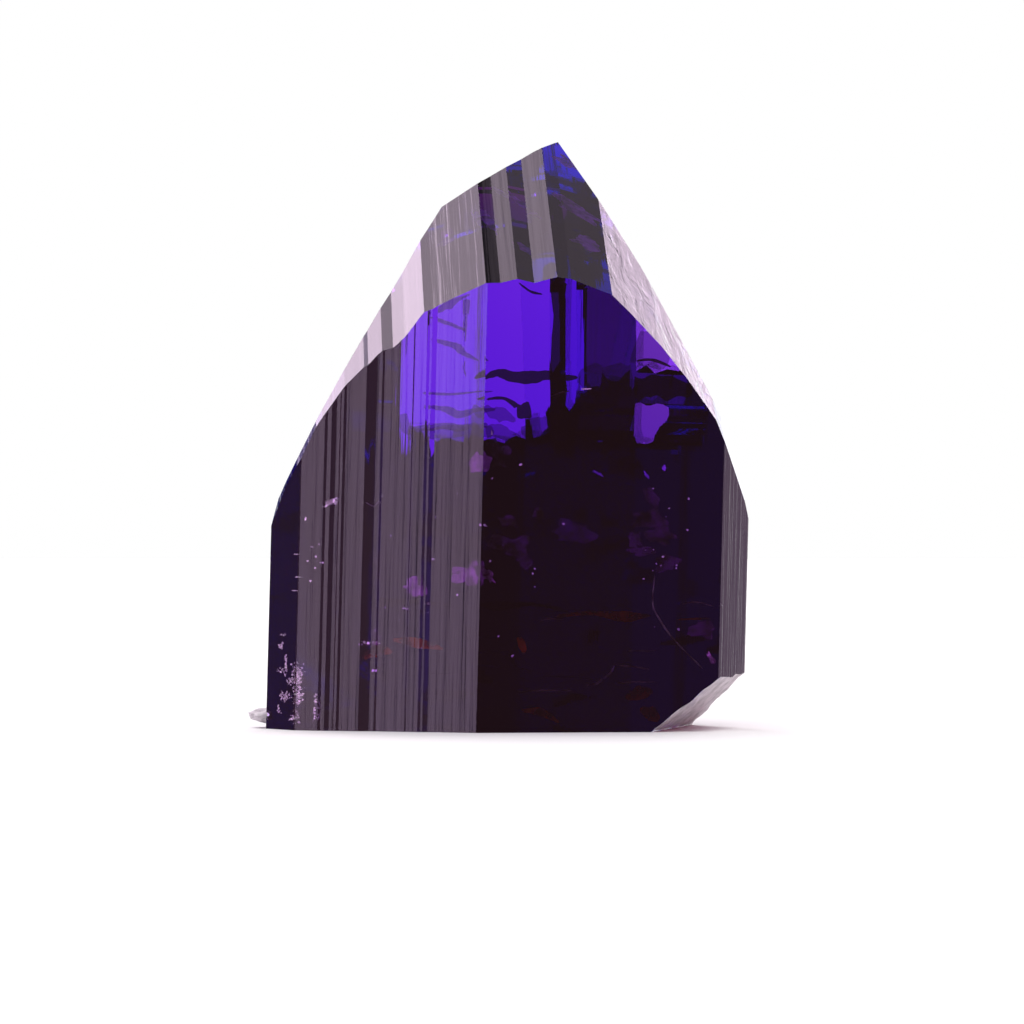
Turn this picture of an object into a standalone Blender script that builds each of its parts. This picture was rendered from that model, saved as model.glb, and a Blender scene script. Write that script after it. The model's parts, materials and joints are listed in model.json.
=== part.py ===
"""A rough tanzanite crystal in metres: a striated prism, leaning a little, under a roof of narrow slanting
faces. The prism and the roof are each one outline swept along one direction, as the faces of a crystal zone
are, and the crystal is what the two have in common. It is cut flat at its foot and stands on that cut."""

import math

import bmesh
import bpy
from mathutils import Matrix, Vector, noise

MM = 0.001
NAME = "tanzanite_crystal"

# The prism's outline at its foot, from the front edge: x runs right and y runs back
PRISM_LEAN = 0.026
RIGHT_FACE = (11.64 * MM, math.radians(6))
RIGHT_BEVEL = (1.50 * MM, math.radians(72))
LEFT_BEVEL = (1.44 * MM, math.radians(52))
BROAD_AZIMUTH = math.radians(20)
STEP_AZIMUTH = math.radians(3)
# Widths, from the front edge to the left, of a broad striation and of the step behind it
STRIATIONS_MM = (
    (2.38, 0.24), (0.10, 0.14), (0.58, 0.05), (1.40, 0.10), (0.24, 0.53),
    (0.94, 0.14), (0.12, 0.05), (0.17, 0.24), (0.19, 0.14), (1.10, 0.06),
)
BACK_LEFT_AZIMUTH = math.radians(42)
BACK_RIGHT_AZIMUTH = math.radians(48)

# The roof's outline, swept back and up along the direction that all its faces share
ROOF_AXIS = Vector((-0.045, 1.0, 0.51))
ROOF_START = (-12.34 * MM, 4.50 * MM)
# Width and rise of each roof face, from left to right
ROOF_FACES_MM = (
    (1.00, 3.28), (0.69, 2.30), (0.49, 1.22), (0.98, 2.22), (0.29, 0.49), (1.07, 1.61),
    (0.96, 1.12), (0.20, 0.12), (0.67, 0.73), (0.53, 0.22), (0.58, 0.63), (0.91, 1.35),
    (0.43, 0.20), (1.10, 0.73), (1.43, 0.91), (0.24, 0.01), (0.44, -0.02), (0.82, 0.15),
    (0.82, -0.23), (1.11, 0.23), (0.68, -0.13), (1.99, -0.86), (0.83, -0.86), (1.51, -1.67),
    (1.36, -1.76), (1.37, -2.01), (0.44, -1.14), (1.33, -4.82), (0.60, -3.00),
)
ROOF_SHIFT = 1.50 * MM
ROOF_FLOOR = -30 * MM
REACH = 45 * MM

# Faces that trim the roof behind: a point on each, and the azimuth from the back and elevation it faces
SHOULDERS = (
    (Vector((-5.75, 8.2, 18.7)) * MM, -88, 27.6),
    (Vector((-2.03, 9.6, 25.89)) * MM, -90, 56.6),
    (Vector((6.86, 12.6, 25.99)) * MM, 88, 33.4),
    (Vector((6.87, 12.0, 24.94)) * MM, 88, 28.8),
    (Vector((10.57, 8.6, 17.73)) * MM, 88, 25.4),
    (Vector((4.09, 14.9, 29.84)) * MM, -79.5, 57.3),
)

# Cleavage steps broken into the back edge: left and right side, depth of the foot, heights of foot and top
CLEAVAGE_STEPS_MM = (
    (-2.1, -0.8, 11.4, 15.0, 22.4), (-0.9, 1.3, 12.2, 16.4, 22.0), (1.2, 3.6, 12.9, 17.3, 21.6),
    (4.3, 4.75, 14.7, 16.4, 21.8), (7.8, 9.2, 8.9, 17.8, 19.8), (7.75, 8.5, 9.9, 14.6, 15.6),
)
CLEAVAGE_TILT = math.radians(9)
CLEAVAGE_AZIMUTH = math.radians(-4)

# The broken lower right corner, scooped out by a large rough ball: centre, radius and roughness
CORNER_BREAK = (Vector((45.6, -7.0, -46.7)) * MM, 60.0 * MM, 0.22 * MM)
# The small rough ledge at the left of the foot: centre, half sizes and roughness
LEDGE_CENTRE = Vector((-10.35, 5.5, 0.62)) * MM
LEDGE_SIZE = Vector((0.85, 1.0, 0.36)) * MM
LEDGE_ROUGHNESS = 0.22
LEDGE_NOISE = 3.1
# Waves a metre in the corner break's surface, coarse and fine
BREAK_NOISE = (700.0, 1900.0)


def clear_scene():
    for obj in list(bpy.data.objects):
        bpy.data.objects.remove(obj)


def collection(name, hidden=False):
    made = bpy.data.collections.new(name)
    made.hide_render = hidden
    bpy.context.scene.collection.children.link(made)
    return made


def move_to(obj, into):
    for linked in list(obj.users_collection):
        linked.objects.unlink(obj)
    into.objects.link(obj)


def swept(name, outline, sweep, into):
    """A closed solid: a flat outline extruded both ways, which the matrix turns and shears into place."""
    curve = bpy.data.curves.new(name, "CURVE")
    curve.dimensions = "2D"
    curve.fill_mode = "BOTH"
    curve.extrude = REACH
    spline = curve.splines.new("POLY")
    spline.points.add(len(outline) - 1)
    for point, (across, along) in zip(spline.points, outline):
        point.co = (across, along, 0, 1)
    spline.use_cyclic_u = True
    drawn = bpy.data.objects.new(name + "_outline", curve)
    bpy.context.scene.collection.objects.link(drawn)
    graph = bpy.context.evaluated_depsgraph_get()
    mesh = bpy.data.meshes.new_from_object(drawn.evaluated_get(graph))
    bpy.data.objects.remove(drawn)
    edited = bmesh.new()
    edited.from_mesh(mesh)
    bmesh.ops.remove_doubles(edited, verts=edited.verts, dist=1e-7)
    bmesh.ops.transform(edited, matrix=sweep, verts=edited.verts)
    bmesh.ops.recalc_face_normals(edited, faces=edited.faces)
    edited.to_mesh(mesh)
    edited.free()
    made = bpy.data.objects.new(name, mesh)
    into.objects.link(made)
    return made


def as_cutter(obj):
    obj.hide_render = True
    obj.display_type = "WIRE"
    return obj


def boolean(obj, other, operation):
    modifier = obj.modifiers.new(other.name, "BOOLEAN")
    modifier.object = other
    modifier.operation = operation
    modifier.solver = "EXACT"


def walk(start, runs):
    """The points reached from start by runs of (across, along)."""
    points = [start]
    for across, along in runs:
        points.append((points[-1][0] + across, points[-1][1] + along))
    return points


def back_edge(left, right):
    """Where the two back faces meet, one rising from the left edge and one from the right edge."""
    rise_left = math.tan(BACK_LEFT_AZIMUTH)
    rise_right = math.tan(BACK_RIGHT_AZIMUTH)
    across = (right[1] - left[1] + rise_left * left[0] + rise_right * right[0]) / (rise_left + rise_right)
    return across, left[1] + rise_left * (across - left[0])


def prism_outline():
    left_runs = []
    for broad, step in STRIATIONS_MM:
        left_runs.append((-broad * MM, broad * MM * math.tan(BROAD_AZIMUTH)))
        left_runs.append((-step * MM, step * MM * math.tan(STEP_AZIMUTH)))
    left_runs.append((-LEFT_BEVEL[0], LEFT_BEVEL[0] * math.tan(LEFT_BEVEL[1])))
    right_runs = [(width, width * math.tan(azimuth)) for width, azimuth in (RIGHT_FACE, RIGHT_BEVEL)]
    left = walk((0.0, 0.0), left_runs)
    right = walk((0.0, 0.0), right_runs)
    return left[::-1] + right[1:] + [back_edge(left[-1], right[-1])]


def roof_outline():
    points = walk(ROOF_START, [(width * MM, rise * MM) for width, rise in ROOF_FACES_MM])
    return [(points[0][0], ROOF_FLOOR)] + points + [(points[-1][0], ROOF_FLOOR)]


def prism(into):
    lean = Matrix(((1, 0, PRISM_LEAN, 0), (0, 1, 0, 0), (0, 0, 1, 0), (0, 0, 0, 1)))
    return swept(NAME, prism_outline(), lean, into)


def roof(into):
    """The roof's outline starts at the crystal's middle, so it is shifted to the prism's front edge."""
    axis = ROOF_AXIS
    sweep = Matrix(((1, 0, axis.x, ROOF_SHIFT), (0, 0, axis.y, 0), (0, 1, axis.z, 0), (0, 0, 0, 1)))
    return as_cutter(swept("roof", roof_outline(), sweep, into))


def shoulders(crystal, into):
    """Cuts away what lies outside each shoulder face, with a large cube standing on that face."""
    for number, (point, azimuth, elevation) in enumerate(SHOULDERS):
        around = math.radians(azimuth)
        up = math.radians(elevation)
        facing = Vector((math.sin(around) * math.cos(up), math.cos(around) * math.cos(up), math.sin(up)))
        bpy.ops.mesh.primitive_cube_add(size=REACH * 2)
        made = bpy.context.object
        made.name = f"shoulder_{number}"
        turn = facing.to_track_quat("Z", "Y").to_matrix().to_4x4()
        made.data.transform(Matrix.Translation(point + facing * REACH) @ turn)
        move_to(made, into)
        boolean(crystal, as_cutter(made), "DIFFERENCE")


def block(name, low, high, into):
    """A box cutter between two corners, turned about its lower front left corner."""
    low = Vector(low)
    high = Vector(high)
    bpy.ops.mesh.primitive_cube_add(size=1)
    made = bpy.context.object
    made.name = name
    size = high - low
    turn = Matrix.Rotation(CLEAVAGE_AZIMUTH, 4, "Z") @ Matrix.Rotation(CLEAVAGE_TILT, 4, "X")
    shape = Matrix.Translation(size / 2) @ Matrix.Diagonal((*size, 1))
    made.data.transform(Matrix.Translation(low) @ turn @ shape)
    move_to(made, into)
    return as_cutter(made)


def cleavage_steps(crystal, into):
    for number, (left, right, depth, foot, top) in enumerate(CLEAVAGE_STEPS_MM):
        low = Vector((left, depth, foot)) * MM
        high = Vector((right * MM, REACH, top * MM))
        boolean(crystal, block(f"cleavage_{number}", low, high, into), "DIFFERENCE")


def rough_ball(name, radius, roughness, into):
    """An icosphere whose points are pushed out by ridged noise, for a shell-shaped fracture."""
    bpy.ops.mesh.primitive_ico_sphere_add(subdivisions=6, radius=radius)
    made = bpy.context.object
    made.name = name
    for vertex in made.data.vertices:
        coarse, fine = (noise.noise(vertex.co * waves) for waves in BREAK_NOISE)
        ripple = abs(coarse) + fine / 2
        vertex.co += vertex.co.normalized() * ripple * roughness
    move_to(made, into)
    return as_cutter(made)


def break_corner(crystal, into):
    centre, radius, roughness = CORNER_BREAK
    ball = rough_ball("corner_break", radius, roughness, into)
    ball.location = centre
    boolean(crystal, ball, "DIFFERENCE")


def ledge(crystal, into):
    bpy.ops.mesh.primitive_ico_sphere_add(subdivisions=3, radius=1)
    made = bpy.context.object
    made.name = "ledge"
    for vertex in made.data.vertices:
        vertex.co *= 1 + LEDGE_ROUGHNESS * noise.noise(vertex.co * LEDGE_NOISE)
    made.data.transform(Matrix.Translation(LEDGE_CENTRE) @ Matrix.Diagonal((*LEDGE_SIZE, 1)))
    move_to(made, into)
    boolean(crystal, as_cutter(made), "UNION")


def ground(into):
    bpy.ops.mesh.primitive_cube_add(size=REACH * 4, location=(0, 0, -REACH * 2))
    made = bpy.context.object
    made.name = "ground"
    move_to(made, into)
    return as_cutter(made)


def centre_on_foot(crystal, cutters):
    """Puts the origin at the middle of the foot, by moving an empty that holds crystal and cutters."""
    graph = bpy.context.evaluated_depsgraph_get()
    corners = [vertex.co for vertex in crystal.evaluated_get(graph).data.vertices]
    middle = [(min(c[axis] for c in corners) + max(c[axis] for c in corners)) / 2 for axis in (0, 1)]
    centre = bpy.data.objects.new("centre", None)
    bpy.context.scene.collection.objects.link(centre)
    for obj in (crystal, *cutters.objects):
        obj.parent = centre
    centre.location = (-middle[0], -middle[1], 0)


def tanzanite():
    made = bpy.data.materials.new("tanzanite")
    made.use_nodes = True
    shader = made.node_tree.nodes["Principled BSDF"]
    shader.inputs["Base Color"].default_value = (0.16, 0.06, 0.42, 1)
    shader.inputs["Roughness"].default_value = 0.05
    shader.inputs["Metallic"].default_value = 0.0
    shader.inputs["IOR"].default_value = 1.7
    return made


def main():
    clear_scene()
    parts = collection("rough_tanzanite")
    cutters = collection("cutters", hidden=True)
    crystal = prism(parts)
    boolean(crystal, roof(cutters), "INTERSECT")
    shoulders(crystal, cutters)
    cleavage_steps(crystal, cutters)
    break_corner(crystal, cutters)
    ledge(crystal, cutters)
    boolean(crystal, ground(cutters), "DIFFERENCE")
    crystal.data.materials.append(tanzanite())
    centre_on_foot(crystal, cutters)


main()
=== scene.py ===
"""The looks of the rough tanzanite: its clear violet-blue substance, its marks and a white studio."""

import json
import math
import random

import bmesh
import bpy
from mathutils import Matrix, Vector, noise
from mathutils.bvhtree import BVHTree

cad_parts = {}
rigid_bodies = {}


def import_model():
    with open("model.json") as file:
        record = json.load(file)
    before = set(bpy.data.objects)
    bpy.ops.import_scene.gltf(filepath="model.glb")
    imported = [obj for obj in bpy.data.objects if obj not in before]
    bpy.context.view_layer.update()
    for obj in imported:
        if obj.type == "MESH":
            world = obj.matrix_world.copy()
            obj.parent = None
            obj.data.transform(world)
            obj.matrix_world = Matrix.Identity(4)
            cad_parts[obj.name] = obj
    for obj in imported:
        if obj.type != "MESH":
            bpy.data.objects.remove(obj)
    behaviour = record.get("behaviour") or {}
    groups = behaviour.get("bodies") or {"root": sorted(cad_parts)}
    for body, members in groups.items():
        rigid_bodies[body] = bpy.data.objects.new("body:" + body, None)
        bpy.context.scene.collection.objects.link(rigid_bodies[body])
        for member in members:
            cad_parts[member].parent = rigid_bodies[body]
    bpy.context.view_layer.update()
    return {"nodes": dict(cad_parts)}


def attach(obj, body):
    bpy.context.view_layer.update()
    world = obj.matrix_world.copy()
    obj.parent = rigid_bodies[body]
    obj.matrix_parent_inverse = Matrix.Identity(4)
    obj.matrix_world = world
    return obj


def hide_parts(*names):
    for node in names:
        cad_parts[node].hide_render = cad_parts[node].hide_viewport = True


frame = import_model()

MM = 0.001
NODE = "tanzanite_crystal"
random.seed(7)

# Camera: the photo's level view, its distance, its width of view at the front edge and where that edge stands
CAMERA_DISTANCE = 220 * MM
VIEW_WIDTH = 49.25 * MM
EDGE_LEFT_OF_AXIS = 1.73 * MM
CAMERA_HEIGHT = 10.63 * MM
SENSOR_WIDTH = 36.0


def clear_scene():
    for obj in list(bpy.data.objects):
        if obj.type in ("LIGHT", "CAMERA"):
            bpy.data.objects.remove(obj)


def front_edge():
    """The foot of the edge between the two broad front faces."""
    vertices = frame["nodes"][NODE].data.vertices
    return min((v.co for v in vertices if v.co.z < 0.1 * MM), key=lambda co: co.y).copy()


def camera():
    edge = front_edge()
    data = bpy.data.cameras.new("camera")
    data.sensor_width = SENSOR_WIDTH
    data.lens = SENSOR_WIDTH * CAMERA_DISTANCE / VIEW_WIDTH
    data.clip_start = 0.01
    made = bpy.data.objects.new("camera", data)
    made.location = (edge.x + EDGE_LEFT_OF_AXIS, edge.y - CAMERA_DISTANCE, CAMERA_HEIGHT)
    made.rotation_euler = (math.radians(90), 0, 0)
    bpy.context.scene.collection.objects.link(made)
    bpy.context.scene.camera = made


class Tree:
    """Short calls for building a node tree."""

    def __init__(self, tree):
        self.tree = tree

    def node(self, kind, **settings):
        made = self.tree.nodes.new(kind)
        for name, value in settings.items():
            setattr(made, name, value)
        return made

    def link(self, source, target):
        self.tree.links.new(source, target)

    def feed(self, sockets, values):
        for socket, value in zip(sockets, values):
            if isinstance(value, bpy.types.NodeSocket):
                self.link(value, socket)
            else:
                socket.default_value = value

    def math(self, operation, first, second):
        made = self.node("ShaderNodeMath", operation=operation)
        self.feed(made.inputs, (first, second))
        return made.outputs[0]

    def ramp(self, value, low, high, out_low, out_high):
        made = self.node("ShaderNodeMapRange", interpolation_type="SMOOTHSTEP")
        self.feed(made.inputs, (value, low, high, out_low, out_high))
        return made.outputs[0]

    def clouds(self, place, scale, detail, distortion=0.0):
        made = self.node("ShaderNodeTexNoise")
        sockets = [made.inputs[name] for name in ("Vector", "Scale", "Detail", "Distortion")]
        self.feed(sockets, (place, scale, detail, distortion))
        return made.outputs["Fac"]


def direction(azimuth, elevation):
    """Azimuth 0 is behind the crystal and 180 is at the camera, in degrees."""
    around, up = math.radians(azimuth), math.radians(elevation)
    return math.sin(around) * math.cos(up), math.cos(around) * math.cos(up), math.sin(up)


# Soft boxes of the studio: azimuth, elevation, half width in degrees, edge softness, brightness and colour
WHITE = (1.0, 1.0, 1.0)
MAUVE = (1.0, 0.80, 1.0)
DEEP_MAUVE = (1.0, 0.68, 1.0)
ROSE = (1.0, 0.0, 0.2)
PLUM = (1.0, 0.0, 0.45)
DUSK = (1.0, 0.5, 0.85)
EMBER = (1.0, 0.40, 0.48)
SOFT_BOXES = (
    (6, -6, 20, 7, 1.45, WHITE),
    (-32, 22, 9, 7, 2.8, MAUVE),
    (26, 19, 7, 7, 2.0, MAUVE),
    (36, 0, 5, 5, 0.30, DEEP_MAUVE),
    (-33, 46, 13, 8, 1.25, MAUVE),
    (24, 46, 12, 8, 0.26, MAUVE),
    (-83, 7, 5, 3, 0.60, PLUM),
    (112, 28, 13, 8, 0.8, ROSE),
    (154, -57, 9, 7, 2.4, WHITE),
    (-158, -11, 3, 3, 0.5, PLUM),
    (-131, 2, 4, 14, 1.5, DEEP_MAUVE),
    (-72, 0, 7, 6, 0.16, DUSK),
    (-171, 0, 3, 3, 0.38, DUSK),
    (167, 0, 5, 5, 0.16, EMBER),
    (-45, -27, 12, 8, 0.7, MAUVE),
    (135, -17, 12, 8, 0.45, DEEP_MAUVE),
    (-98, -8, 8, 5, 0.8, WHITE),
    (-150, -28, 10, 8, 0.35, MAUVE),
    (60, -24, 12, 8, 0.5, MAUVE),
    (0, 82, 12, 8, 1.0, WHITE),
)
AMBIENT = (0.012, 0.008, 0.012)


def studio_world():
    """White to the camera; the crystal itself sees soft boxes all round it, on near black."""
    world = bpy.data.worlds.new("studio")
    bpy.context.scene.world = world
    world.use_nodes = True
    world.node_tree.nodes.clear()
    tree = Tree(world.node_tree)
    toward = tree.node("ShaderNodeTexCoord").outputs["Generated"]
    total = AMBIENT
    for azimuth, elevation, half, soft, brightness, colour in SOFT_BOXES:
        dot = tree.node("ShaderNodeVectorMath", operation="DOT_PRODUCT")
        tree.feed(dot.inputs, (toward, direction(azimuth, elevation)))
        outer = math.cos(math.radians(half + soft))
        inner = math.cos(math.radians(half))
        level = tree.ramp(dot.outputs["Value"], outer, inner, 0.0, brightness)
        added = tree.node("ShaderNodeVectorMath", operation="MULTIPLY_ADD")
        tree.feed(added.inputs, (level, colour, total))
        total = added.outputs[0]
    seen = tree.node("ShaderNodeLightPath").outputs["Is Camera Ray"]
    light = tree.node("ShaderNodeMix", data_type="RGBA")
    tree.feed((light.inputs[0], light.inputs[6]), (seen, total))
    light.inputs[7].default_value = (1, 1, 1, 1)
    background = tree.node("ShaderNodeBackground")
    tree.link(light.outputs[2], background.inputs["Color"])
    tree.link(background.outputs[0], tree.node("ShaderNodeOutputWorld").inputs["Surface"])


def material(name):
    made = bpy.data.materials.new(name)
    made.use_nodes = True
    return made, Tree(made.node_tree), made.node_tree.nodes["Principled BSDF"]


# The floor's width in metres, its grey and roughness, and the strength and spread in degrees of its light
FLOOR_WIDTH = 1.6
FLOOR_GREY = 0.95
FLOOR_ROUGHNESS = 0.7
FLOOR_LIGHT = 3.4
FLOOR_LIGHT_SPREAD = 70


def floor():
    """A white floor and its light, which no ray shows that the crystal has turned."""
    bpy.ops.mesh.primitive_plane_add(size=FLOOR_WIDTH, location=(0, 0, 0))
    made = bpy.context.object
    made.name = "floor"
    paint, tree, shader = material("floor_white")
    shader.inputs["Base Color"].default_value = (FLOOR_GREY, FLOOR_GREY, FLOOR_GREY, 1)
    shader.inputs["Roughness"].default_value = FLOOR_ROUGHNESS
    made.data.materials.append(paint)
    made.visible_transmission = False
    made.visible_glossy = False
    data = bpy.data.lights.new("floor_light", "SUN")
    data.energy = FLOOR_LIGHT
    data.angle = math.radians(FLOOR_LIGHT_SPREAD)
    sun = bpy.data.objects.new("floor_light", data)
    sun.visible_transmission = False
    sun.visible_glossy = False
    bpy.context.scene.collection.objects.link(sun)


# Surface relief: lines a metre across the grain, how much slower it changes along it, and its height. The
# shares are of that height: on faces to the left, on the right front face, and for light inside the crystal.
GRAIN = 3400.0
GRAIN_STRETCH = 0.02
GRAIN_HEIGHT = 0.012 * MM
GRAIN_ON_LEFT = 1.6
GRAIN_ON_FRONT = 0.25
GRAIN_INSIDE = 0.12
FEATHER = 1500.0
FEATHER_HEIGHT = 0.10 * MM
PRISM_LEAN = 0.026
ROOF_AXIS = (-0.045, 1.0, 0.51)


def relief(tree):
    """Fine lines along the prism's length and the roof's axis, and feathered etching on the roof's right."""
    place = tree.node("ShaderNodeTexCoord").outputs["Object"]
    split = tree.node("ShaderNodeSeparateXYZ")
    tree.link(place, split.inputs[0])
    x, y, z = split.outputs
    geometry = tree.node("ShaderNodeNewGeometry")
    face = tree.node("ShaderNodeSeparateXYZ")
    tree.link(geometry.outputs["True Normal"], face.inputs[0])
    upright = tree.node("ShaderNodeCombineXYZ")
    tree.feed(upright.inputs, (
        tree.math("SUBTRACT", x, tree.math("MULTIPLY", z, PRISM_LEAN)), y,
        tree.math("MULTIPLY", z, GRAIN_STRETCH),
    ))
    slanting = tree.node("ShaderNodeCombineXYZ")
    tree.feed(slanting.inputs, (
        tree.math("SUBTRACT", x, tree.math("MULTIPLY", y, ROOF_AXIS[0])),
        tree.math("MULTIPLY", y, GRAIN_STRETCH),
        tree.math("SUBTRACT", z, tree.math("MULTIPLY", y, ROOF_AXIS[2])),
    ))
    on_roof = tree.ramp(face.outputs[2], 0.2, 0.3, 0.0, 1.0)
    along = tree.node("ShaderNodeMix", data_type="VECTOR")
    tree.feed(
        (along.inputs[0], along.inputs[4], along.inputs[5]),
        (on_roof, upright.outputs[0], slanting.outputs[0]),
    )
    lines = tree.clouds(along.outputs[1], GRAIN, 3.0)
    fibres = tree.node("ShaderNodeMapping")
    fibres.inputs["Rotation"].default_value = (0, math.radians(-24), 0)
    fibres.inputs["Scale"].default_value = (1.0, 0.25, 0.14)
    tree.link(place, fibres.inputs["Vector"])
    feathers = tree.clouds(fibres.outputs[0], FEATHER, 4.0, distortion=1.2)
    right = tree.math("MULTIPLY", tree.ramp(face.outputs[0], 0.5, 0.62, 0.0, 1.0), on_roof)
    left = tree.ramp(face.outputs[0], -0.25, -0.15, GRAIN_ON_LEFT, 1.0)
    front = tree.ramp(face.outputs[0], 0.15, 0.3, GRAIN_ON_FRONT, 1.0)
    share = tree.math("MULTIPLY", tree.math("MAXIMUM", left, on_roof), tree.math("MAXIMUM", front, on_roof))
    on_left = tree.math("LESS_THAN", face.outputs[0], -0.2)
    share = tree.math("MAXIMUM", share, tree.math("MULTIPLY", on_left, left))
    inside = tree.ramp(geometry.outputs["Backfacing"], 0.0, 1.0, 1.0, GRAIN_INSIDE)
    share = tree.math("MULTIPLY", share, inside)
    fine = tree.math("MULTIPLY", tree.math("MULTIPLY", lines, share), GRAIN_HEIGHT)
    coarse = tree.math("MULTIPLY", tree.math("MULTIPLY", feathers, right), FEATHER_HEIGHT)
    bump = tree.node("ShaderNodeBump")
    bump.inputs["Strength"].default_value = 1.0
    bump.inputs["Distance"].default_value = 1.0
    tree.link(tree.math("ADD", fine, coarse), bump.inputs["Height"])
    return bump.outputs[0]


# The crystal's substance: its index of refraction, the colour that passes best and how fast the rest fades
INDEX = 1.70
PASSES = (0.50, 0.0, 0.875, 1)
ABSORPTION = 480


def tanzanite():
    paint, tree, shader = material("tanzanite")
    shader.inputs["Base Color"].default_value = (1, 1, 1, 1)
    shader.inputs["Roughness"].default_value = 0.0
    shader.inputs["IOR"].default_value = INDEX
    shader.inputs["Transmission Weight"].default_value = 1.0
    tree.link(relief(tree), shader.inputs["Normal"])
    volume = tree.node("ShaderNodeVolumeAbsorption")
    volume.inputs["Color"].default_value = PASSES
    volume.inputs["Density"].default_value = ABSORPTION
    tree.link(volume.outputs[0], tree.tree.nodes["Material Output"].inputs["Volume"])
    return paint


# Where the photo shows things: across is right of the front edge's foot and up is above it, both in mm as
# they lie in the upright plane through that edge
FACE_BOX = Vector(direction(-134, 2))
ROOF_BOX = Vector(direction(24, 46))
LEFT = Vector(direction(-160, 0.5))
RIGHT = Vector(direction(174, -0.15))


class Sight:
    """Lines of sight from the camera, bent where they enter the crystal."""

    def __init__(self, mesh):
        corners = [vertex.co for vertex in mesh.vertices]
        self.surface = BVHTree.FromPolygons(corners, [face.vertices for face in mesh.polygons])
        self.edge = front_edge()
        self.eye = bpy.context.scene.camera.location.copy()

    def toward(self, across, up):
        return (Vector((self.edge.x + across * MM, self.edge.y, up * MM)) - self.eye).normalized()

    def meets(self, across, up):
        return self.surface.ray_cast(self.eye, self.toward(across, up))[0] is not None

    def enter(self, across, up):
        ray = self.toward(across, up)
        place, normal, _, _ = self.surface.ray_cast(self.eye, ray)
        return place, normal, bent(ray, normal)

    def at_depth(self, across, up, depth):
        place, _, inside = self.enter(across, up)
        return place + inside * depth * MM

    def through(self, across, up, face):
        """Where a line of sight goes in through a broad face, as if that face had no striations."""
        ray = Vector((self.edge.x + across * MM, self.edge.y, up * MM)) - self.eye
        place = self.eye + ray * ((self.edge - self.eye).dot(face) / ray.dot(face))
        return place, bent(ray.normalized(), face)

    def on_plane(self, across, up, face, point, facing):
        place, inside = self.through(across, up, face)
        return place + inside * ((point - place).dot(facing) / inside.dot(facing))

    def mirror(self, across, up, box=FACE_BOX):
        """The way that a flake inside must face to show a soft box, by default the one in front."""
        _, normal, inside = self.enter(across, up)
        return -(inside + bent(-box, normal)).normalized()


def bent(ray, normal):
    """A ray's direction once it has entered through a surface that faces normal."""
    facing = -ray.dot(normal)
    inner = math.sqrt(1 - (1 - facing * facing) / INDEX ** 2)
    return (ray / INDEX + normal * (facing / INDEX - inner)).normalized()


def mesh_object(name, edited):
    mesh = bpy.data.meshes.new(name)
    edited.to_mesh(mesh)
    edited.free()
    made = bpy.data.objects.new(name, mesh)
    bpy.context.scene.collection.objects.link(made)
    return made


# Breaks in the back that let the light through: the face they show in, depth, upward tilt, turn to the right
# and outline, whose first point has that depth. Each is cut straight back over the length below.
CUT_LENGTH = 30 * MM
BREAKS = (
    (LEFT, 10.3, 9, 4, (
        (-3.8, 13.4), (-3.4, 13.3), (-3.1, 13.8), (-3.05, 14.6), (-2.5, 14.4), (-2.1, 14.0), (-1.4, 14.2),
        (-0.7, 14.0), (-0.3, 14.4), (0.3, 14.2), (0.3, 22.0), (-1.0, 22.0), (-2.5, 21.0), (-3.4, 19.6),
    )),
    (RIGHT, 12.2, 9, 4, (
        (0.55, 14.3), (1.0, 14.5), (1.5, 14.1), (1.9, 14.3), (1.95, 15.1), (2.6, 15.1), (2.75, 14.2),
        (3.1, 14.3), (3.45, 14.7), (3.35, 15.4), (3.55, 15.8), (3.55, 22.3), (0.55, 22.3),
    )),
    (RIGHT, 13.7, 9, 4, (
        (4.3, 15.8), (4.5, 15.5), (4.75, 15.9), (4.85, 17.2), (4.8, 22.3), (4.3, 22.3),
    )),
    (RIGHT, 7.7, 9, 4, (
        (7.7, 17.4), (8.2, 17.7), (8.6, 17.3), (9.2, 17.5), (9.8, 17.4), (9.6, 18.6), (8.4, 19.9),
        (7.7, 20.1),
    )),
    (RIGHT, 8.4, 9, 4, (
        (7.6, 14.3), (7.75, 13.95), (8.2, 13.9), (8.5, 14.0), (8.65, 14.4), (8.8, 14.7), (9.1, 14.95),
        (9.3, 15.3), (9.25, 15.65), (9.0, 15.8), (8.7, 15.85), (8.4, 15.75), (8.2, 15.75), (7.9, 15.9),
        (7.65, 15.85),
    )),
)


def cut(crystal, cutter):
    modifier = crystal.modifiers.new(cutter.name, "BOOLEAN")
    modifier.object = cutter
    modifier.operation = "DIFFERENCE"
    modifier.solver = "EXACT"


def prism_behind(name, outline):
    """A closed cutter from an outline straight back."""
    edited = bmesh.new()
    near = edited.faces.new([edited.verts.new(point) for point in outline])
    grown = bmesh.ops.extrude_face_region(edited, geom=[near])
    moved = [item for item in grown["geom"] if isinstance(item, bmesh.types.BMVert)]
    bmesh.ops.translate(edited, vec=(0, CUT_LENGTH, 0), verts=moved)
    bmesh.ops.recalc_face_normals(edited, faces=edited.faces)
    return mesh_object(name, edited)


def break_cutters(sight):
    cutters = []
    for number, (face, depth, tilt, turn, outline) in enumerate(BREAKS):
        facing = Vector(direction(turn, tilt))
        place, inside = sight.through(*outline[0], face)
        anchor = place + inside * depth * MM
        points = [sight.on_plane(across, up, face, anchor, facing) for across, up in outline]
        cutters.append(prism_behind(f"break_{number}", points))
    return cutters


# The broken lower right corner: a point on it, how it faces, its half width, relief, waves a metre with their
# shares of the relief, and the thickness of the slab that cuts it
CHIP_POINT = (10.75, 3.4, 1.35)
CHIP_FACING = (0.62, -0.18, -0.76)
CHIP_SIZE = 6.0
CHIP_RELIEF = 0.10
CHIP_WAVES = (620.0, 1900.0)
CHIP_SHARES = (1.6, 0.7)
CHIP_SLAB = 8 * MM

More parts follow.
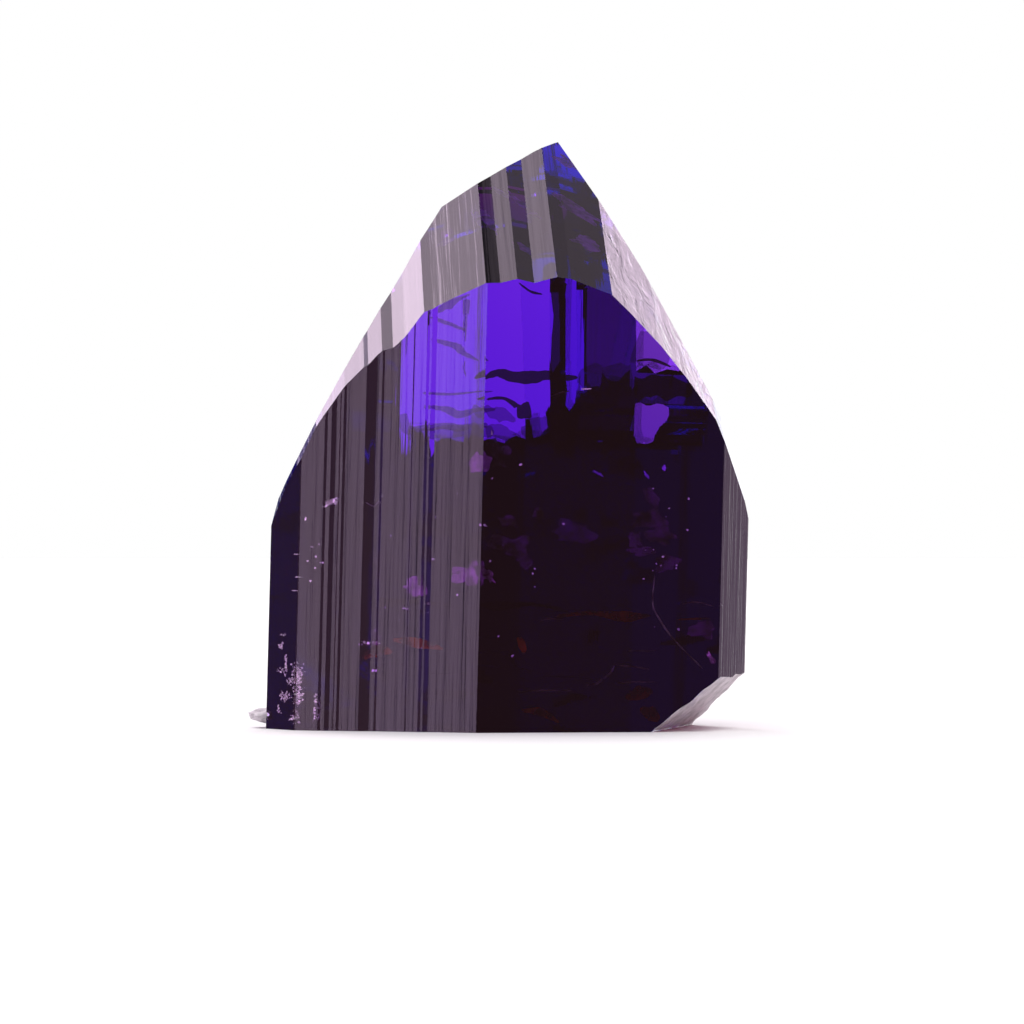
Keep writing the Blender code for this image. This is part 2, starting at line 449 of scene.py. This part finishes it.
# The rough ledge at the left of the foot: its middle, how far its skin reaches and its largest face
LEDGE_POINT = (-10.35, 5.5, 0.62)
LEDGE_REACH = 1.3
LEDGE_INWARD = 0.35
LEDGE_FACE = 0.3

# The frosted skin on broken faces: its tint, lift and clouds a metre, and for the chip how squarely a face
# looks out, how near the chip's plane it is and how far above the foot
SKIN_TINT = (1.0, 0.92, 0.98)
SKIN_LIFT = 0.012
SKIN_CLOUDS = 1500.0
SKIN_SQUARE = 0.6
SKIN_NEAR = 0.45
SKIN_ABOVE_FOOT = 0.02


def chip_cutter(sight):
    """A slab with a rough face, which stands outside the corner."""
    facing = Vector(CHIP_FACING).normalized()
    turn = facing.to_track_quat("Z", "Y").to_matrix().to_4x4()
    place = sight.edge + Vector(CHIP_POINT) * MM
    edited = bmesh.new()
    bmesh.ops.create_grid(edited, x_segments=60, y_segments=60, size=CHIP_SIZE * MM)
    for vertex in edited.verts:
        heights = [abs(noise.noise(vertex.co * waves)) for waves in CHIP_WAVES]
        coarse, fine = (height * share for height, share in zip(heights, CHIP_SHARES))
        vertex.co.z += (coarse + fine) * CHIP_RELIEF * MM
    grown = bmesh.ops.extrude_face_region(edited, geom=edited.faces[:])
    moved = [item for item in grown["geom"] if isinstance(item, bmesh.types.BMVert)]
    bmesh.ops.translate(edited, vec=(0, 0, CHIP_SLAB), verts=moved)
    bmesh.ops.transform(edited, matrix=Matrix.Translation(place) @ turn, verts=edited.verts)
    bmesh.ops.recalc_face_normals(edited, faces=edited.faces)
    return mesh_object("chip_cutter", edited)


def weld(mesh):
    edited = bmesh.new()
    edited.from_mesh(mesh)
    bmesh.ops.remove_doubles(edited, verts=edited.verts, dist=1e-7)
    flat = math.radians(0.05)
    bmesh.ops.dissolve_limit(edited, angle_limit=flat, verts=edited.verts, edges=edited.edges)
    edited.to_mesh(mesh)
    edited.free()


def crystal():
    """A welded copy of the solid with its breaks cut finer, flat shaded."""
    made = bpy.data.objects.new("crystal", frame["nodes"][NODE].data.copy())
    bpy.context.scene.collection.objects.link(made)
    weld(made.data)
    sight = Sight(made.data)
    cutters = break_cutters(sight) + [chip_cutter(sight)]
    for cutter in cutters:
        cut(made, cutter)
    graph = bpy.context.evaluated_depsgraph_get()
    carved = bpy.data.meshes.new_from_object(made.evaluated_get(graph))
    made.modifiers.clear()
    made.data = carved
    for cutter in cutters:
        bpy.data.objects.remove(cutter)
    weld(made.data)
    made.data.shade_flat()
    made.data.materials.clear()
    made.data.materials.append(tanzanite())
    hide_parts(NODE)
    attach(made, "root")
    return made


# Marks inside the crystal. A ribbon is a face it shows in, a depth and points of across, up and half width.
# Feathers on the left front face are cracks inside, drawn as near-black films that paint their shade;
# the shades on the right front face and the veils are painted shade: dark films that darken the crystal
# where they lie. Healed cracks and stains show by the soft box in front.
FEATHERS_AND_PAINTED_SHADES = (
    (LEFT, 2.5, ((-2.2, 20.0, 0.04), (-1.35, 19.7, 0.11), (-0.45, 19.35, 0.04))),
    (LEFT, 2.6, ((-0.5, 20.9, 0.22), (-0.5, 19.9, 0.13), (-0.55, 18.8, 0.05))),
    (LEFT, 2.4, ((-2.2, 18.95, 0.04), (-1.1, 18.65, 0.17), (-0.6, 18.3, 0.13), (0.15, 17.9, 0.04))),
    (LEFT, 2.5, ((-0.55, 17.9, 0.03), (-0.6, 17.5, 0.05), (-0.45, 17.1, 0.03))),
    (LEFT, 2.3, ((-2.55, 16.35, 0.07), (-1.25, 16.3, 0.06), (0.4, 16.45, 0.04))),
    (LEFT, 2.4, (
        (-2.5, 15.7, 0.09), (-1.6, 15.6, 0.14), (-0.9, 15.35, 0.18), (-0.1, 15.5, 0.12), (0.5, 15.6, 0.05),
    )),
    (LEFT, 2.5, ((-3.1, 14.6, 0.12), (-1.7, 14.75, 0.18), (-0.8, 14.7, 0.17), (0.1, 14.85, 0.1))),
    (LEFT, 2.6, ((-1.9, 20.2, 0.05), (-1.45, 20.55, 0.22), (-0.95, 20.8, 0.13), (-0.3, 21.1, 0.05))),
    (LEFT, 2.6, ((-3.1, 19.75, 0.04), (-2.8, 20.05, 0.12), (-2.5, 20.25, 0.04))),
    (RIGHT, 2.5, (
        (0.4, 17.05, 0.06), (0.95, 17.3, 0.2), (1.65, 17.2, 0.26), (2.5, 17.1, 0.3), (3.5, 17.2, 0.25),
        (4.15, 17.1, 0.18), (4.9, 17.1, 0.05),
    )),
    (RIGHT, 2.7, ((1.95, 15.5, 0.3), (2.3, 15.5, 0.4), (2.65, 15.55, 0.36))),
    (RIGHT, 2.5, ((0.5, 16.05, 0.05), (1.3, 16.1, 0.09), (2.0, 15.7, 0.14))),
    (RIGHT, 2.4, ((7.7, 17.9, 0.04), (8.45, 17.95, 0.08), (9.4, 17.6, 0.04))),
    (RIGHT, 2.9, ((3.92, 21.9, 0.34), (3.94, 19.0, 0.33), (3.92, 16.0, 0.36), (3.95, 13.4, 0.3))),
    (RIGHT, 3.0, (
        (4.95, 16.1, 0.5), (5.6, 15.6, 1.4), (6.4, 15.5, 1.6), (7.1, 15.3, 1.8), (7.55, 15.2, 1.5),
    )),
    (RIGHT, 3.1, ((7.6, 16.6, 0.55), (8.4, 16.65, 0.6), (9.4, 16.6, 0.5), (10.4, 16.4, 0.3))),
    (RIGHT, 2.6, ((2.05, 21.65, 0.03), (2.6, 21.25, 0.06), (3.2, 21.1, 0.03))),
)
# Veils are painted shade: half-clear near-black films that dim the crystal where they lie.
PAINTED_SHADE_VEILS = (
    (RIGHT, 3.1, ((0.45, 15.75, 0.1), (0.8, 15.4, 0.34), (1.3, 15.3, 0.3), (1.9, 15.0, 0.1))),
    (RIGHT, 3.3, ((0.45, 14.5, 0.3), (1.0, 14.55, 0.36), (1.6, 14.3, 0.28), (2.2, 14.2, 0.1))),
    (RIGHT, 3.4, ((2.2, 14.4, 0.3), (2.9, 14.7, 0.42), (3.5, 15.1, 0.3))),
    (RIGHT, 3.6, ((4.9, 17.2, 0.3), (5.6, 17.0, 0.7), (6.6, 16.9, 0.9), (7.55, 16.9, 0.8))),
    (RIGHT, 3.5, ((7.5, 14.9, 1.1), (8.2, 14.9, 1.15), (8.9, 14.9, 1.15), (9.4, 15.0, 0.9))),
    (RIGHT, 3.5, ((7.6, 18.6, 0.9), (8.1, 18.4, 0.8), (8.7, 18.0, 0.55), (9.2, 17.7, 0.3))),
    (LEFT, 2.9, ((-3.6, 15.3, 0.2), (-3.4, 14.9, 0.32), (-3.1, 14.4, 0.2))),
    (LEFT, 3.1, ((-3.3, 14.5, 0.3), (-2.3, 14.4, 0.34), (-1.2, 14.5, 0.3), (0.3, 14.5, 0.3))),
)
HEALED_CRACKS = (
    (RIGHT, 0.8, (
        (8.6, 7.6, 0.02), (8.5, 6.2, 0.03), (8.9, 5.35, 0.045), (9.6, 4.4, 0.035), (10.9, 3.1, 0.02),
    )),
    (RIGHT, 1.0, ((6.1, 2.6, 0.03), (6.5, 2.95, 0.04), (6.65, 3.25, 0.02))),
    (RIGHT, 1.0, ((5.3, 2.3, 0.02), (5.8, 2.4, 0.04), (6.1, 2.6, 0.03))),
    (RIGHT, 1.1, ((6.7, 3.25, 0.02), (7.5, 3.2, 0.03), (8.4, 3.05, 0.02))),
    (RIGHT, 0.9, ((6.7, 2.4, 0.015), (7.6, 2.45, 0.025), (8.7, 2.45, 0.015))),
    (RIGHT, 0.9, ((7.3, 3.95, 0.012), (8.0, 3.95, 0.02), (8.7, 3.95, 0.012))),
    (RIGHT, 0.9, ((2.0, 2.0, 0.015), (3.2, 2.05, 0.03), (4.6, 2.05, 0.015))),
    (RIGHT, 1.2, ((3.1, 5.4, 0.02), (3.6, 5.5, 0.03), (4.2, 5.45, 0.02))),
    (RIGHT, 1.2, ((9.9, 6.2, 0.02), (10.6, 6.3, 0.03), (11.4, 6.1, 0.02))),
    (RIGHT, 1.0, ((3.6, 16.2, 0.02), (4.0, 16.35, 0.04), (4.5, 16.45, 0.02))),
    (LEFT, 0.9, ((-7.3, 10.9, 0.03), (-7.0, 11.1, 0.12), (-6.6, 11.3, 0.03))),
    (LEFT, 0.9, ((-5.4, 11.1, 0.02), (-4.9, 10.9, 0.03), (-4.4, 11.5, 0.02))),
    (LEFT, 1.0, ((-7.7, 1.6, 0.02), (-7.55, 1.1, 0.05), (-7.8, 0.5, 0.02))),
)
STAINS = (
    (LEFT, 1.2, ((-4.0, 4.5, 0.06), (-2.9, 4.35, 0.24), (-1.6, 4.05, 0.07))),
    (LEFT, 1.4, ((-5.6, 3.6, 0.1), (-4.8, 4.0, 0.3), (-4.0, 3.9, 0.1))),
    (RIGHT, 1.4, ((2.0, 4.6, 0.1), (2.25, 4.2, 0.2), (2.3, 3.8, 0.06))),
    (RIGHT, 1.5, ((3.8, 5.6, 0.08), (5.5, 5.75, 0.12), (7.2, 5.6, 0.22), (8.4, 5.65, 0.07))),
    (RIGHT, 1.3, ((9.7, 5.45, 0.03), (10.5, 5.5, 0.06), (11.3, 5.5, 0.03))),
    (RIGHT, 1.6, ((7.2, 1.7, 0.1), (7.9, 1.9, 0.35), (8.5, 2.0, 0.1))),
    (RIGHT, 1.6, ((7.9, 1.2, 0.1), (8.4, 0.9, 0.35), (8.8, 0.6, 0.12))),
    (RIGHT, 1.6, ((2.2, 1.1, 0.06), (3.1, 1.0, 0.2), (4.0, 0.5, 0.06))),
)
# A flake is across, up, half width, half height, turn in degrees and depth. Roof flakes show the soft box
# above and behind, and the others the one in front.
BRIGHT_FLAKES = (
    (-5.2, 4.33, 0.11, 0.1, 0, 0.9), (-4.8, 4.33, 0.13, 0.08, 0, 0.9),
    (-0.35, 7.6, 0.7, 0.6, 10, 1.6), (-3.05, 7.0, 0.5, 0.36, 0, 1.7), (0.55, 7.6, 0.2, 0.5, 40, 1.4),
    (0.0, 13.0, 0.35, 0.5, -30, 1.8), (11.3, 3.6, 0.12, 0.32, 30, 0.9),
)
DIM_FLAKES = (
    (1.6, 10.2, 0.55, 0.22, -12, 1.8), (3.0, 10.55, 0.33, 0.28, 30, 2.0), (1.75, 9.0, 1.0, 0.55, -8, 2.2),
    (2.3, 8.3, 0.4, 0.35, 0, 2.2), (0.95, 13.4, 0.6, 0.7, 20, 2.2), (8.4, 11.4, 0.5, 0.3, -50, 2.2),
    (8.3, 10.3, 0.85, 0.45, 6, 2.0), (8.9, 9.5, 0.8, 0.4, -4, 2.0), (8.0, 8.75, 0.7, 0.25, 5, 2.0),
    (9.1, 8.2, 0.55, 0.38, 0, 2.0), (7.6, 9.3, 0.4, 0.45, 0, 2.1), (10.9, 5.0, 0.6, 0.45, 0, 1.6),
    (-4.9, 7.9, 0.3, 0.7, 0, 2.0), (-4.9, 4.4, 0.3, 0.5, 0, 2.0), (4.6, 9.6, 0.9, 0.5, 0, 3.0),
)
ROOF_FLAKES = (
    (4.9, 25.2, 0.75, 1.3, 10, 1.2), (5.3, 23.6, 0.8, 0.7, 0, 1.3), (4.5, 27.4, 0.5, 0.9, 10, 1.0),
    (2.3, 25.4, 0.32, 1.6, 8, 1.2), (2.5, 23.2, 0.3, 0.8, 4, 1.2), (0.65, 24.6, 0.24, 1.7, 4, 1.2),
)
GLINTS = (
    (-6.9, 11.15, 0.3, 0.09, 15, 0.35), (-7.2, 10.95, 0.2, 0.05, 20, 0.35), (-8.65, 8.6, 0.14, 0.025, 0, 0.3),
    (-8.6, 7.5, 0.22, 0.02, 0, 0.3), (-8.75, 6.85, 0.2, 0.02, 0, 0.3), (-8.2, 10.3, 0.04, 0.1, -20, 0.3),
    (5.85, 12.5, 0.28, 0.06, -25, 4.5), (9.05, 12.75, 0.1, 0.13, 0, 4.0), (8.2, 12.4, 0.22, 0.07, -50, 4.5),
    (5.25, 16.55, 0.22, 0.035, 0, 0.8), (0.75, 14.45, 0.04, 0.14, 0, 0.9),
)
# Clusters of tiny glints: across, up, spread across, spread up, how many, and depth
CLUSTERS = (
    (-8.6, 2.75, 0.2, 0.5, 150, 0.3), (-8.55, 1.75, 0.18, 0.35, 90, 0.3), (-8.85, 2.5, 0.16, 0.12, 50, 0.3),
    (-9.2, 1.75, 0.22, 0.18, 60, 0.3), (-9.35, 4.2, 0.12, 0.16, 22, 0.3), (-9.3, 3.0, 0.2, 0.14, 26, 0.3),
    (-9.15, 3.5, 0.05, 0.5, 20, 0.3), (-8.65, 0.8, 0.2, 0.25, 30, 0.3), (-9.25, 4.75, 0.12, 0.04, 6, 0.3),
    (-7.75, 1.3, 0.1, 0.55, 22, 0.4), (-9.5, 1.1, 0.1, 0.2, 10, 0.3), (-6.95, 11.1, 0.3, 0.12, 24, 0.4),
    (-5.1, 4.33, 0.4, 0.05, 14, 0.8), (0.0, 8.0, 5.5, 4.5, 26, 1.2), (9.0, 8.0, 1.2, 3.2, 16, 1.2),
    (-7.7, 8.4, 0.3, 0.9, 10, 0.5),
)
# The least and greatest half height of a tiny glint, and the clouds a metre in every film
SPECK = (0.015, 0.06)
FILM_CLOUDS = 1400.0


def smooth_run(points, steps=6):
    """Points along a curve that passes smoothly through the given ones."""
    run = []
    padded = [points[0], *points, points[-1]]
    for before, start, end, after in zip(padded, padded[1:], padded[2:], padded[3:]):
        for step in range(steps):
            t = step / steps
            weights = (-t + 2 * t**2 - t**3, 2 - 5 * t**2 + 3 * t**3, t + 4 * t**2 - 3 * t**3, t**3 - t**2)
            near = (before, start, end, after)
            run.append([sum(w * p[i] for w, p in zip(weights, near)) / 2 for i in range(len(start))])
    return run + [list(points[-1])]


def wobble(along, track):
    """A smooth change of width along one side of a ribbon."""
    return 1 + 0.5 * noise.noise(Vector((along, track, 0.5)))


def ribbon(edited, sight, face, depth, points):
    """Adds a flat curved ribbon with ragged sides, tapered at both ends, facing as a mirror would."""
    run = smooth_run(points)
    spots = []
    for across, up, half in run:
        place, inside = sight.through(across, up, face)
        spots.append((place + inside * depth * MM, half))
    facing = -(sight.through(*points[0][:2], face)[1] + bent(-FACE_BOX, face)).normalized()
    rails = []
    for index, (middle, half) in enumerate(spots):
        ahead = spots[min(index + 1, len(spots) - 1)][0] - spots[max(index - 1, 0)][0]
        side = facing.cross(ahead).normalized()
        ends = 0.15 if index in (0, len(spots) - 1) else 1.0
        rails.append([
            edited.verts.new(middle + side * sign * half * ends * wobble(index * 0.4, sign + depth * 9) * MM)
            for sign in (-1, 1)
        ])
    for (left, right), (next_left, next_right) in zip(rails, rails[1:]):
        edited.faces.new((left, right, next_right, next_left))


def ragged_sheet(edited, middle, facing, wide, high, turn, seed, points=26):
    """Adds a flat sheet with a wavy outline, turned in its own plane."""
    right = Vector((0, 0, 1)).cross(facing).normalized()
    rise = facing.cross(right)
    tilt = math.radians(turn)
    ring = []
    for step in range(points):
        around = step * math.tau / points
        wave = noise.noise(Vector((math.cos(around), math.sin(around), seed)) * 1.7)
        reach = 1 + 0.8 * wave + random.uniform(-0.03, 0.03)
        across = math.cos(around) * wide * reach
        up = math.sin(around) * high * reach
        sideways = across * math.cos(tilt) - up * math.sin(tilt)
        upward = across * math.sin(tilt) + up * math.cos(tilt)
        ring.append(edited.verts.new(middle + (right * sideways + rise * upward) * MM))
    edited.faces.new(ring)


def mottle(tree, shader, tint, clouds, detail, edges, levels):
    """Gives a shader one tint, lighter and darker in clouds."""
    place = tree.node("ShaderNodeTexCoord").outputs["Object"]
    level = tree.ramp(tree.clouds(place, clouds, detail), *edges, *levels)
    colour = tree.node("ShaderNodeVectorMath", operation="SCALE")
    tree.feed((colour.inputs[0], colour.inputs[3]), (tint, level))
    tree.link(colour.outputs[0], shader.inputs["Base Color"])


def film(name, tint, low, high, roughness, alpha=1.0, metallic=1.0):
    """A thin film whose brightness is mottled."""
    paint, tree, shader = material(name)
    mottle(tree, shader, tint, FILM_CLOUDS, 4.0, (0.35, 0.65), (low, high))
    shader.inputs["Roughness"].default_value = roughness
    shader.inputs["Metallic"].default_value = metallic
    shader.inputs["Alpha"].default_value = alpha
    return paint


def painted_shade_film(name, alpha):
    """A near-black film of painted shade: it holds light back and shines nowhere."""
    paint = film(name, (0.55, 0.25, 0.9), 0.005, 0.03, 0.8, alpha=alpha, metallic=0.0)
    paint.node_tree.nodes["Principled BSDF"].inputs["Specular IOR Level"].default_value = 0.0
    return paint


def inside_piece(name, edited, paint):
    made = mesh_object(name, edited)
    made.data.materials.append(paint)
    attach(made, "root")


def pale_skin():
    """The frosted look of broken surfaces."""
    paint, tree, shader = material("broken_surface")
    mottle(tree, shader, SKIN_TINT, SKIN_CLOUDS, 5.0, (0.3, 0.7), (0.62, 1.0))
    shader.inputs["Roughness"].default_value = 0.55
    shader.inputs["Alpha"].default_value = 0.85
    return paint


def broken_skin(name, mesh, belongs):
    """A thin frosted skin over the faces that belong to a break."""
    edited = bmesh.new()
    edited.from_mesh(mesh)
    away = [face for face in edited.faces if not belongs(face)]
    bmesh.ops.delete(edited, geom=away, context="FACES")
    edited.normal_update()
    for vertex in edited.verts:
        vertex.co += vertex.normal * SKIN_LIFT * MM
    inside_piece(name, edited, pale_skin())


def skins(mesh, edge):
    chip = edge + Vector(CHIP_POINT) * MM
    facing = Vector(CHIP_FACING).normalized()
    ledge = edge + Vector(LEDGE_POINT) * MM

    def on_chip(face):
        middle = face.calc_center_median()
        near = abs((middle - chip).dot(facing)) < SKIN_NEAR * MM
        return face.normal.dot(facing) > SKIN_SQUARE and near and middle.z > SKIN_ABOVE_FOOT * MM

    def on_ledge(face):
        middle = face.calc_center_median()
        reached = (middle - ledge).length < LEDGE_REACH * MM and middle.x < ledge.x + LEDGE_INWARD * MM
        return reached and face.calc_area() < LEDGE_FACE * MM * MM

    broken_skin("chip_skin", mesh, on_chip)
    broken_skin("ledge_skin", mesh, on_ledge)


def ribbons(sight):
    # Feathers, shades and veils are near-black films of painted shade; the feathers also stand for cracks
    # inside.
    for name, marks, paint in (
        ("feathers", [mark for mark in FEATHERS_AND_PAINTED_SHADES if mark[0] == LEFT], painted_shade_film("feather", 0.6)),
        ("shades", [mark for mark in FEATHERS_AND_PAINTED_SHADES if mark[0] == RIGHT], painted_shade_film("shade", 0.93)),
        ("painted_shade_veils", PAINTED_SHADE_VEILS, painted_shade_film("painted_shade_veil", 0.5)),
        ("healed_cracks", HEALED_CRACKS, film("healed_crack", (1.0, 0.9, 0.95), 0.08, 0.3, 0.35)),
        ("stains", STAINS, film("stain", (1.0, 0.2, 0.03), 0.08, 0.34, 0.35, alpha=0.8)),
    ):
        edited = bmesh.new()
        for face, depth, points in marks:
            ribbon(edited, sight, face, depth, points)
        inside_piece(name, edited, paint)


def flakes(sight):
    roof = film("roof_flake", (0.6, 0.2, 1.0), 0.3, 1.0, 0.3, alpha=0.8)
    bright = film("bright_flake", (1.0, 0.45, 1.0), 0.1, 0.42, 0.22, alpha=0.8)
    dim = film("dim_flake", (0.8, 0.3, 1.0), 0.01, 0.1, 0.25, alpha=0.8)
    glint = film("glint", (1.0, 1.0, 1.0), 0.4, 1.0, 0.2)
    for name, box, marks, paint in (
        ("roof_flakes", ROOF_BOX, ROOF_FLAKES, roof),
        ("bright_flakes", FACE_BOX, BRIGHT_FLAKES, bright),
        ("dim_flakes", FACE_BOX, DIM_FLAKES, dim),
        ("glints", FACE_BOX, GLINTS, glint),
    ):
        edited = bmesh.new()
        for number, (across, up, wide, high, turn, depth) in enumerate(marks):
            middle = sight.at_depth(across, up, depth)
            ragged_sheet(edited, middle, sight.mirror(across, up, box), wide, high, turn, number * 3.7)
        inside_piece(name, edited, paint)


def sparkles(sight):
    """Tiny glints in clusters, each turned a little at random."""
    edited = bmesh.new()
    for across, up, wide, high, count, depth in CLUSTERS:
        for number in range(count):
            spot = across + random.gauss(0, wide * 0.6), max(0.15, up + random.gauss(0, high * 0.6))
            if not sight.meets(*spot):
                continue
            middle = sight.at_depth(*spot, depth + random.uniform(-0.2, 0.3))
            shake = Vector([random.gauss(0, 0.035) for _ in range(3)])
            facing = (sight.mirror(*spot) + shake).normalized()
            size = random.uniform(*SPECK)
            wide_size = size * random.uniform(0.8, 1.8)
            ragged_sheet(edited, middle, facing, wide_size, size, random.uniform(-40, 40), number, points=6)
    inside_piece("sparkles", edited, film("sparkle", (1.0, 1.0, 1.0), 0.6, 1.0, 0.22))


BOUNCES = 24


def render_setup():
    scene = bpy.context.scene
    scene.view_settings.view_transform = "Standard"
    scene.cycles.max_bounces = BOUNCES
    scene.cycles.transmission_bounces = BOUNCES
    scene.cycles.transparent_max_bounces = BOUNCES


clear_scene()
camera()
studio_world()
floor()
stone = crystal()
sight = Sight(stone.data)
ribbons(sight)
flakes(sight)
sparkles(sight)
skins(stone.data, sight.edge)
render_setup()
